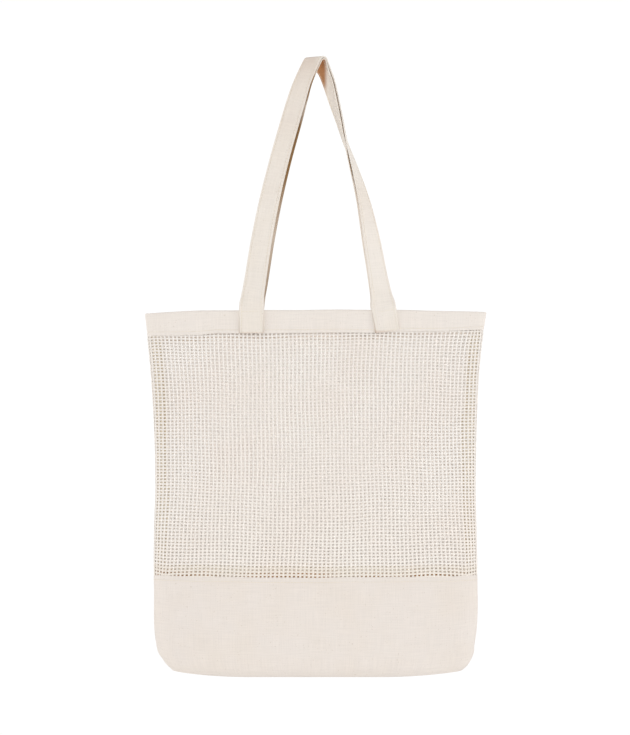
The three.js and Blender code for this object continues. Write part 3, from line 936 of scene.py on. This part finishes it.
def smoothRoute(stations, steps):
    # A curve through the stations that doesn't overshoot where they lie close together
    ends = [2 * stations[0] - stations[1], *stations, 2 * stations[-1] - stations[-2]]
    points = []
    for p0, p1, p2, p3 in zip(ends, ends[1:], ends[2:], ends[3:]):
        d0, d1, d2 = (np.linalg.norm((b - a)[:3]) ** 0.5 for a, b in ((p0, p1), (p1, p2), (p2, p3)))
        t1 = ((p1 - p0) / d0 - (p2 - p0) / (d0 + d1) + (p2 - p1) / d1) * d1
        t2 = ((p2 - p1) / d1 - (p3 - p1) / (d1 + d2) + (p3 - p2) / d2) * d1
        for f in np.arange(steps) / steps:
            cubic = (2 * p1 - 2 * p2 + t1 + t2) * f ** 3 + (3 * p2 - 3 * p1 - 2 * t1 - t2) * f ** 2
            points.append(cubic + t1 * f + p1)
    points.append(stations[-1])
    return np.array(points)


def strapFrame(side, radius):
    # The middle line of a strap, the way its width points and the way its face looks
    route = smoothRoute(strapStations(side, radius), strapLook["steps"])
    centre, turn = route[:, :3], np.radians(route[:, 3])
    along = np.gradient(centre, axis=0)
    along /= np.linalg.norm(along, axis=1, keepdims=True)
    wide = np.stack([np.cos(turn), -np.sin(turn), np.zeros_like(turn)], axis=1)
    wide -= along * np.sum(wide * along, axis=1, keepdims=True)
    wide /= np.linalg.norm(wide, axis=1, keepdims=True)
    return centre, wide, np.cross(wide, along)


def strapSection():
    # Half way round: across one face with its two stitched dents, then round the edge
    half, thick = strapLook["width"] / 2, strapLook["thickness"] / 2
    dentAt = half - strapLook["stitchIn"]
    beside = strapLook["dentReach"] * np.array([-1, -0.5, 0, 0.5, 1])
    flat = np.linspace(-strapLook["flatReach"], strapLook["flatReach"], 5)
    w = np.concatenate([[-half + thick], beside - dentAt, flat, beside + dentAt, [half - thick]])
    dent = strapLook["stitchDent"] * np.exp(-((np.abs(w) - dentAt) / strapLook["dentWidth"]) ** 2)
    face = np.stack([w, thick - dent], axis=1)
    angles = np.radians(strapLook["edgeAngles"])
    edge = np.stack([half - thick + thick * np.cos(angles), thick * np.sin(angles)], axis=1)
    return np.concatenate([face, edge])


def strapTones(points, ring, side):
    # Painted shade: warm inside the fold, towards the top of the left leg, on the turned face of the
    # right leg and at the sewn ends, and darker in the creases along the edges of the two straps
    x, z = points[..., 0], points[..., 2]
    face = ring[:, 1] / (0.5 * strapLook["thickness"])
    inside = np.clip(-face, 0, 1) * (side > 0)
    shadeAmount = inside * ramp(z, strapLook["shadeFoot"], strapLook["shadeTop"])
    shadeAmount = shadeAmount * ramp(x, strapLook["shadeEndX"], strapLook["shadeX"]) * (x > 0)
    edge = strapLook["width"] / 2 - strapLook["creaseIn"]
    nearEdge = ramp(ring[:, 0], edge, edge + strapLook["creaseSoft"])
    facing = np.clip(strapLook["facing"] * face * side, 0, 1)
    onLeft = tableAt(strapLook["leftCrease"], z) * np.maximum(facing, np.abs(face) < strapLook["round"])
    onRight = tableAt(strapLook["rightCrease"], z) * facing
    crease = nearEdge * np.where(x < 0, onLeft, onRight) * (side > 0)
    leftOf = x.mean(axis=1, keepdims=True) - x
    rim = strapLook["width"] / 2 - strapLook["rimIn"]
    rimEnd = rim + strapLook["rimSoft"]
    leftLines, rightLines = strapLook["footLines"].values()
    # Painted shade along the edges of each sewn end
    line = np.where(x < 0, leftLines[0], rightLines[0]) * ramp(leftOf, rim, rimEnd)
    line = line + np.where(x < 0, leftLines[1], rightLines[1]) * ramp(-leftOf, rim, rimEnd)
    foot = np.where(x < 0, strapLook["seats"]["left"][2], strapLook["seats"]["right"][2])
    crease = crease + line * ramp(z, strapLook["footLineTop"], foot)
    shadeAmount = shadeAmount + strapLook["hemShade"] * ramp(z, foot + strapLook["hemShadeDepth"], foot)
    paintedTopShade = tableAt(strapLook["topShade"], z)
    shadeAmount = shadeAmount + paintedTopShade * ramp(x, strapLook["topShadeEndX"], strapLook["topShadeX"])
    shadeAmount = shadeAmount + tableAt(strapLook["rightShade"], z) * (x > 0)
    return {"paintedShade": shadeAmount, "creaseShade": crease}


def makeStrap(name, side, radius, node):
    centre, wide, out = strapFrame(side, radius)
    half = strapSection()
    ring = np.concatenate([half, -half, half[:1]])
    points = centre[:, None] + wide[:, None] * ring[None, :, :1] + out[:, None] * ring[None, :, 1:]
    run = runAlong(centre)
    strap = clothGrid(name, points, flatPlace(runAlong(ring), run), strapTones(points, ring, side))
    weldSheet()
    bpy.ops.object.mode_set(mode="EDIT")
    bpy.ops.mesh.select_all(action="DESELECT")
    bpy.ops.mesh.select_non_manifold()
    bpy.ops.mesh.edge_face_add()
    bpy.ops.object.mode_set(mode="OBJECT")
    bpy.ops.object.shade_smooth_by_angle(angle=math.radians(strapLook["smoothAngle"]))
    dress(strap, strapCanvas, node)
    print(name, "is", round(float(run[-1])), "mm long")


# Stitching: short raised stitches of cotton thread along hems and strap edges

stitchLook = {
    "length": 3.0, "gap": 0.7, "width": 0.27, "height": 0.20, "arch": 0.22,  # mm
    "shares": (0, 0.18, 0.5, 0.82, 1.0),   # points along one stitch
    "rise": (-0.25, 0.6, 1.0, 0.6, -0.25), "taper": (0.35, 0.9, 1.0, 0.9, 0.35),  # at each of them
    "bodySteps": 600, "crossSteps": 12,    # points of a line round the body and across a strap
}


def stitchLine(path, normals):
    run = runAlong(path)
    pitch = stitchLook["length"] + stitchLook["gap"]
    starts = np.arange(stitchLook["gap"] / 2, run[-1] - stitchLook["length"], pitch)
    shares, rise, taper = (np.array(stitchLook[name]) for name in ("shares", "rise", "taper"))
    arch = rise * stitchLook["arch"]
    at = starts[:, None] + shares * stitchLook["length"]
    centres = np.stack([np.interp(at, run, path[:, k]) for k in range(3)], axis=-1)
    out = np.stack([np.interp(at, run, normals[:, k]) for k in range(3)], axis=-1)
    out /= np.linalg.norm(out, axis=2, keepdims=True)
    return (centres + out * arch[None, :, None], out,
            stitchLook["width"] * taper, stitchLook["height"] * taper, 0.0)


def makeBodyStitches():
    shares = np.linspace(0, 2, stitchLook["bodySteps"])
    lines = {"band_stitches": bandFace(bandLook["stitchZ"], shares, bandLook["stitchInset"]),
             "base_stitches": baseFace(baseLook["stitchZ"], shares, baseLook["stitchInset"])}
    for name, line in lines.items():
        dress(tubeMesh(name, [stitchLine(*line)]), thread, None)


def makeStrapStitches(name, side, radius):
    centre, wide, out = strapFrame(side, radius)
    dentAt = strapLook["width"] / 2 - strapLook["stitchIn"]
    level = strapLook["thickness"] / 2 - strapLook["stitchDent"]
    lines = []
    for face in (1, -1):
        for edge in (1, -1):
            path = centre + wide * dentAt * edge + out * level * face
            lines.append(stitchLine(path, out * face))
    across = np.linspace(-dentAt, dentAt, stitchLook["crossSteps"])[:, None]
    rows = [round(at * strapLook["steps"]) for at in strapLook["crossAt"]]
    for row in rows + [-1 - row for row in rows]:  # across both sewn ends, outside
        face = 1 if np.dot(out[row], (0, side, 0)) > 0 else -1
        path = centre[row] + wide[row] * across + out[row] * (strapLook["thickness"] / 2) * face
        lines.append(stitchLine(path, np.broadcast_to(out[row] * face, path.shape)))
    dress(tubeMesh(name, lines), thread, None)


makeBand()
makeNet("mesh_front", -1, "net_front")
makeNet("mesh_back", 1, "net_back")
makeSideSeam("side_seam_left", -1)
makeSideSeam("side_seam_right", 1)
print("band and net ready")
makeBase()
makeTurnUp()
print("base ready")
innerRadius = strapLook["hookRadius"] + strapLook["thickness"] / 2
outerRadius = innerRadius + strapLook["thickness"] + strapLook["foldGap"]
makeStrap("strap_front", -1, outerRadius, "handle_front")
makeStrap("strap_back", 1, innerRadius, "handle_back")
makeBodyStitches()
makeStrapStitches("strap_front_stitches", -1, outerRadius)
makeStrapStitches("strap_back_stitches", 1, innerRadius)
print("straps and stitches ready")

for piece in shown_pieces():
    piece.data.calc_loop_triangles()
    print(piece.name, len(piece.data.loop_triangles), "triangles")
